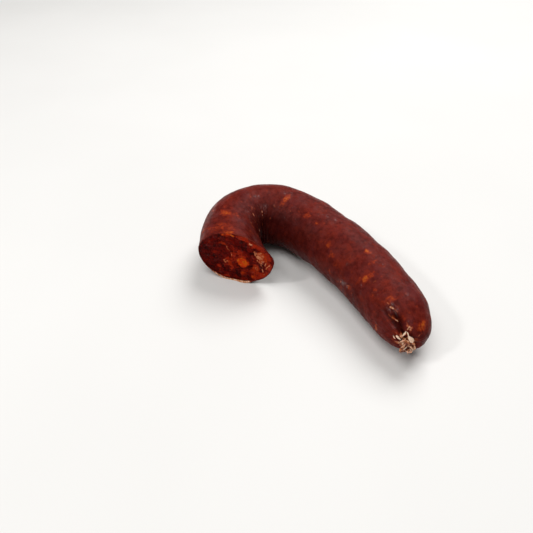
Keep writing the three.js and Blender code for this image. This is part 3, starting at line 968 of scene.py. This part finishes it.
class Graph:
    """A new material, with a short way to add its nodes."""

    def __init__(self, name):
        self.material = bpy.data.materials.new(name)
        self.material.use_nodes = True
        self.tree = self.material.node_tree
        self.tree.nodes.clear()

    def add(self, kind, inputs, **settings):
        node = self.tree.nodes.new("ShaderNode" + kind)
        for name, value in settings.items():
            setattr(node, name, value)
        for socket, value in inputs.items():
            if isinstance(value, bpy.types.NodeSocket):
                self.tree.links.new(value, node.inputs[socket])
            else:
                node.inputs[socket].default_value = value
        return node

    def attribute(self, name, output="Fac"):
        """What the mesh keeps at each point."""
        return self.add("Attribute", {}, attribute_name=name).outputs[output]

    def noise(self, place, scale, detail=4.0, roughness=0.55):
        inputs = {"Vector": place, "Scale": scale, "Detail": detail, "Roughness": roughness}
        return self.add("TexNoise", inputs).outputs["Fac"]

    def math(self, operation, a, b):
        return self.add("Math", {0: a, 1: b}, operation=operation).outputs[0]

    def times(self, a, b):
        return self.math("MULTIPLY", a, b)

    def plus(self, a, b, share):
        """The first value and a share of the second."""
        return self.math("ADD", a, self.times(b, share))

    def ramp(self, value, low, high, to_low=0.0, to_high=1.0):
        """The value carried from one span to another, and kept inside it."""
        inputs = {"Value": value, "From Min": low, "From Max": high, "To Min": to_low, "To Max": to_high}
        return self.add("MapRange", inputs, interpolation_type="SMOOTHSTEP").outputs["Result"]

    def blend(self, amount, a, b):
        """Two colours mixed by an amount."""
        return self.add("Mix", {"Factor": amount, 6: a, 7: b}, data_type="RGBA").outputs[2]

    def bump(self, height, distance, strength=1.0):
        inputs = {"Height": height, "Distance": distance * MM, "Strength": strength}
        return self.add("Bump", inputs).outputs["Normal"]

    def surface(self, **inputs):
        named = {name.replace("_", " "): value for name, value in inputs.items()}
        shader = self.add("BsdfPrincipled", named)
        self.add("OutputMaterial", {"Surface": shader.outputs["BSDF"]})
        return self.material


# Colours: linear red, green and blue, and 1 for opaque
LEAN_IN_PAINTED_SHADE = (0.02, 0.0012, 0.001, 1)
LEAN_DEEP = (0.074, 0.0056, 0.0038, 1)
LEAN = (0.136, 0.0146, 0.0102, 1)
LEAN_MAUVE = (0.108, 0.015, 0.015, 1)
LEAN_RUSTY = (0.196, 0.021, 0.01, 1)
FAT_HALO = (0.2, 0.017, 0.006, 1)
FAT_UNDER_SKIN = (0.29, 0.031, 0.008, 1)
FAT_BRIGHT = (0.44, 0.096, 0.0115, 1)
GUT_STAINED_AND_SHADED = (0.16, 0.03, 0.01, 1)
GUT_TAN = (0.54, 0.17, 0.042, 1)
GUT_WHITE = (0.95, 0.64, 0.47, 1)

MEAT_DARK = (0.026, 0.0004, 0.0002, 1)
MEAT_MIDDLE = (0.122, 0.0022, 0.0008, 1)
MEAT_RED = (0.37, 0.021, 0.0045, 1)
ORANGE_EDGE = (0.35, 0.022, 0.0022, 1)
ORANGE_CORE = (0.61, 0.047, 0.0025, 1)
ORANGE_YELLOW = (0.6, 0.125, 0.006, 1)
PALE_EDGE = (0.43, 0.078, 0.025, 1)
PALE_CORE = (0.64, 0.23, 0.11, 1)


def casing_material():
    graph = Graph("casing")
    place_on = graph.attribute("unbent", "Vector")
    fat = graph.attribute("fat")
    dry_and_painted_glints = graph.attribute("dry_and_painted_glints")

    # Chopped meat that shows darkly through the casing
    mottle = graph.noise(place_on, 0.33, 5, 0.6)
    grain = graph.noise(place_on, 1.7, 4, 0.6)
    stretched = graph.add("VectorMath", {0: place_on, 1: (1.0, 0.22, 0.22)}, operation="MULTIPLY")
    across = graph.noise(stretched.outputs[0], 0.9, 3)
    shade = graph.plus(graph.times(mottle, 0.88), across, 0.12)
    lean = graph.blend(graph.ramp(shade, 0.35, 0.64), LEAN_DEEP, LEAN)
    mauve = graph.ramp(graph.noise(place_on, 0.11, 3), 0.5, 0.68, 0.0, 0.55)
    lean = graph.blend(mauve, lean, LEAN_MAUVE)
    broad = graph.ramp(graph.noise(place_on, 0.075, 2), 0.42, 0.66)
    rusty = graph.times(broad, graph.ramp(grain, 0.4, 0.66))
    lean = graph.blend(graph.times(rusty, 0.55), lean, LEAN_RUSTY)

    # Small bits of fat everywhere, and the large pieces
    cells = graph.add("TexVoronoi", {"Vector": place_on, "Scale": 0.42})
    cell_value = graph.add("SeparateColor", {"Color": cells.outputs["Color"]}).outputs[0]
    close = graph.ramp(cells.outputs["Distance"], 0.42, 0.12)
    bits = graph.times(graph.times(graph.ramp(cell_value, 0.7, 0.86), close), 0.3)
    clouds = graph.ramp(graph.noise(place_on, 0.15, 5, 0.68), 0.53, 0.72, 0.0, 0.6)
    lean = graph.blend(clouds, lean, FAT_HALO)
    worn = graph.math("SUBTRACT", graph.noise(place_on, 0.75, 4, 0.65), 0.5)
    ragged = graph.times(graph.plus(fat, worn, 1.5), graph.ramp(fat, 0.0, 0.3))
    under = graph.blend(graph.ramp(ragged, 0.15, 0.6), FAT_HALO, FAT_UNDER_SKIN)
    under = graph.blend(graph.ramp(ragged, 0.5, 1.05), under, FAT_BRIGHT)
    colour = graph.blend(bits, lean, FAT_UNDER_SKIN)
    colour = graph.blend(graph.ramp(ragged, 0.0, 0.8), colour, under)
    # Painted shade: the lean darkened inside the bend, along the underside and in the fold by the tail
    colour = graph.blend(graph.times(graph.attribute("painted_shade"), 0.85), colour, LEAN_IN_PAINTED_SHADE)

    # Dry gut, and the pale painted glints that share its colour
    gut = graph.blend(graph.ramp(grain, 0.42, 0.62), GUT_TAN, GUT_WHITE)
    gut = graph.blend(graph.ramp(dry_and_painted_glints, 0.45, 0.95), PALE_EDGE, gut)
    colour = graph.blend(graph.times(graph.ramp(dry_and_painted_glints, 0.15, 0.85), 0.92), colour, gut)

    height = graph.plus(graph.times(grain, 0.7), graph.noise(place_on, 4.5, 3), 0.3)
    return graph.surface(
        Base_Color=colour,
        Roughness=graph.ramp(graph.noise(place_on, 0.6, 3), 0.35, 0.65, 0.34, 0.5),
        Normal=graph.bump(height, 0.16, 0.8),
        Subsurface_Weight=0.12,
        Subsurface_Radius=(1.0, 0.28, 0.14),
        Subsurface_Scale=0.0012,
        Specular_IOR_Level=0.065,
        IOR=1.4,
        Coat_Weight=graph.times(graph.attribute("wet"), 0.9),
        Coat_Roughness=0.1,
        Coat_IOR=1.6,
        Coat_Normal=graph.bump(graph.noise(place_on, 0.9, 3), 0.35),
    )


def gut_material():
    graph = Graph("dry_gut")
    place_on = graph.attribute("unbent", "Vector")
    patches = graph.noise(place_on, 1.3, 4, 0.65)
    pale = graph.plus(graph.attribute("tone"), graph.math("SUBTRACT", patches, 0.5), 1.8)
    colour = graph.blend(graph.ramp(pale, 0.05, 0.95), GUT_TAN, GUT_WHITE)
    # Low tones are stained, and on the knob they are painted shade in its crevices
    colour = graph.blend(graph.ramp(pale, -0.25, 0.45, 1.0, 0.0), colour, GUT_STAINED_AND_SHADED)
    return graph.surface(
        Base_Color=colour,
        Roughness=graph.ramp(patches, 0.35, 0.65, 0.28, 0.48),
        Normal=graph.bump(graph.noise(place_on, 3.0, 3), 0.12, 0.7),
        Subsurface_Weight=0.25,
        Subsurface_Radius=(1.0, 0.45, 0.3),
        Subsurface_Scale=0.001,
        Specular_IOR_Level=0.25,
        Coat_Weight=0.15,
        Coat_Roughness=0.12,
    )


def meat_material():
    graph = Graph("cut_meat")
    place_on = graph.attribute("plane", "Vector")
    orange = graph.attribute("orange")
    pale = graph.attribute("pale")
    grain = graph.noise(place_on, 1.6, 4, 0.62)
    granular = graph.math("SUBTRACT", graph.noise(place_on, 0.9, 4, 0.7), 0.5)

    # Lean meat, darkest in the seams between its chunks, with painted shade in its small holes
    shade = graph.plus(graph.attribute("lean"), granular, 1.3)
    colour = graph.blend(graph.ramp(shade, 0.1, 0.55), MEAT_DARK, MEAT_MIDDLE)
    colour = graph.blend(graph.ramp(shade, 0.55, 1.05), colour, MEAT_RED)
    colour = graph.blend(graph.times(graph.attribute("seams_and_hole_shade"), 0.5), colour, MEAT_DARK)

    # Fat stained orange, yellower in places
    stained = graph.times(graph.plus(orange, granular, 1.1), graph.ramp(orange, 0.0, 0.25))
    fat = graph.blend(graph.ramp(stained, 0.5, 1.2), ORANGE_EDGE, ORANGE_CORE)
    patches = graph.noise(place_on, 0.42, 3)
    yellow = graph.times(graph.ramp(patches, 0.5, 0.62), graph.ramp(stained, 0.55, 1.0))
    fat = graph.blend(yellow, fat, ORANGE_YELLOW)
    colour = graph.blend(graph.ramp(stained, 0.06, 0.8), colour, fat)

    # Pale fat, and one painted glint on the cut face
    strayed = graph.plus(pale, granular, 1.5)
    white = graph.blend(graph.ramp(strayed, 0.35, 0.9), PALE_EDGE, PALE_CORE)
    amount = graph.times(graph.ramp(strayed, 0.12, 0.7), graph.ramp(pale, 0.0, 0.2))
    colour = graph.blend(amount, colour, white)

    height = graph.plus(graph.times(grain, 0.7), graph.noise(place_on, 4.2, 3), 0.3)
    moist = graph.ramp(patches, 0.58, 0.7, 0.0, 0.4)
    return graph.surface(
        Base_Color=colour,
        Roughness=graph.ramp(graph.noise(place_on, 0.8, 3), 0.35, 0.65, 0.3, 0.48),
        Normal=graph.bump(height, 0.35, 0.9),
        Subsurface_Weight=0.08,
        Subsurface_Radius=(1.0, 0.3, 0.15),
        Subsurface_Scale=0.001,
        Specular_IOR_Level=0.04,
        IOR=1.4,
        Coat_Weight=graph.math("MAXIMUM", graph.attribute("wet"), moist),
        Coat_Roughness=0.12,
        Coat_IOR=1.4,
    )


def floor_material():
    graph = Graph("floor")
    place_on = graph.add("NewGeometry", {}).outputs["Position"]
    tone = graph.ramp(graph.noise(place_on, 3.0, 3), 0.3, 0.7)
    colour = graph.blend(tone, FLOOR_DARK, FLOOR_PALE)
    return graph.surface(Base_Color=colour, Roughness=0.6, Specular_IOR_Level=0.2)


# The studio: camera, floor and soft lights

PHOTO_SIDE = 533
FOCAL_PIXELS = 484.2
CAMERA_AT = (-125.15, -160.6, 199.6)
CAMERA_AZIMUTH = -32
CAMERA_PITCH = 42

FLOOR_HALF = 4.0
FLOOR_PALE = (0.8, 0.79, 0.77, 1)
FLOOR_DARK = (0.77, 0.76, 0.74, 1)
WORLD_COLOUR = (1.0, 0.985, 0.965, 1)
WORLD_STRENGTH = 0.16
# Soft boxes: name, azimuth, elevation, distance in metres, side in metres, watts. Azimuths are
# counted from the camera's side, counter-clockwise seen from above.
SOFT_BOXES = [
    ("back_light", 150, 52, 1.5, 0.9, 17.0),
    ("top_light", 300, 72, 1.5, 0.9, 11.0),
    ("window_light", 289, 44, 1.2, 0.12, 2.6),
]


def add_camera():
    data = bpy.data.cameras.new("camera")
    data.lens = data.sensor_width * FOCAL_PIXELS / PHOTO_SIDE
    camera = add_object("camera", data)
    camera.location = [value * MM for value in CAMERA_AT]
    camera.rotation_euler = (math.radians(90 - CAMERA_PITCH), 0, math.radians(CAMERA_AZIMUTH))
    bpy.context.scene.camera = camera


def add_floor():
    mesh = bpy.data.meshes.new("floor")
    corners = [(x * FLOOR_HALF, y * FLOOR_HALF, 0) for x, y in ((-1, -1), (1, -1), (1, 1), (-1, 1))]
    mesh.from_pydata(corners, [], [(0, 1, 2, 3)])
    mesh.materials.append(floor_material())
    add_object("floor", mesh)


def add_light(name, azimuth, elevation, distance, side, power):
    data = bpy.data.lights.new(name, "AREA")
    data.shape = "SQUARE"
    data.size = side
    data.energy = power
    light = add_object(name, data)
    a = math.radians(CAMERA_AZIMUTH + azimuth)
    level = distance * math.cos(math.radians(elevation))
    height = distance * math.sin(math.radians(elevation))
    light.location = (level * math.sin(a), -level * math.cos(a), height)
    light.rotation_euler = (math.radians(90 - elevation), 0, a)


def set_surroundings():
    world = bpy.data.worlds.new("studio")
    world.use_nodes = True
    background = world.node_tree.nodes["Background"]
    background.inputs["Color"].default_value = WORLD_COLOUR
    background.inputs["Strength"].default_value = WORLD_STRENGTH
    scene = bpy.context.scene
    scene.world = world
    scene.view_settings.view_transform = "Standard"


add_camera()
add_floor()
set_surroundings()
for soft_box in SOFT_BOXES:
    add_light(*soft_box)

casing = casing_material()
part_shift = make_skin(casing)
make_face(part_shift, meat_material())
make_gut(part_shift, gut_material())
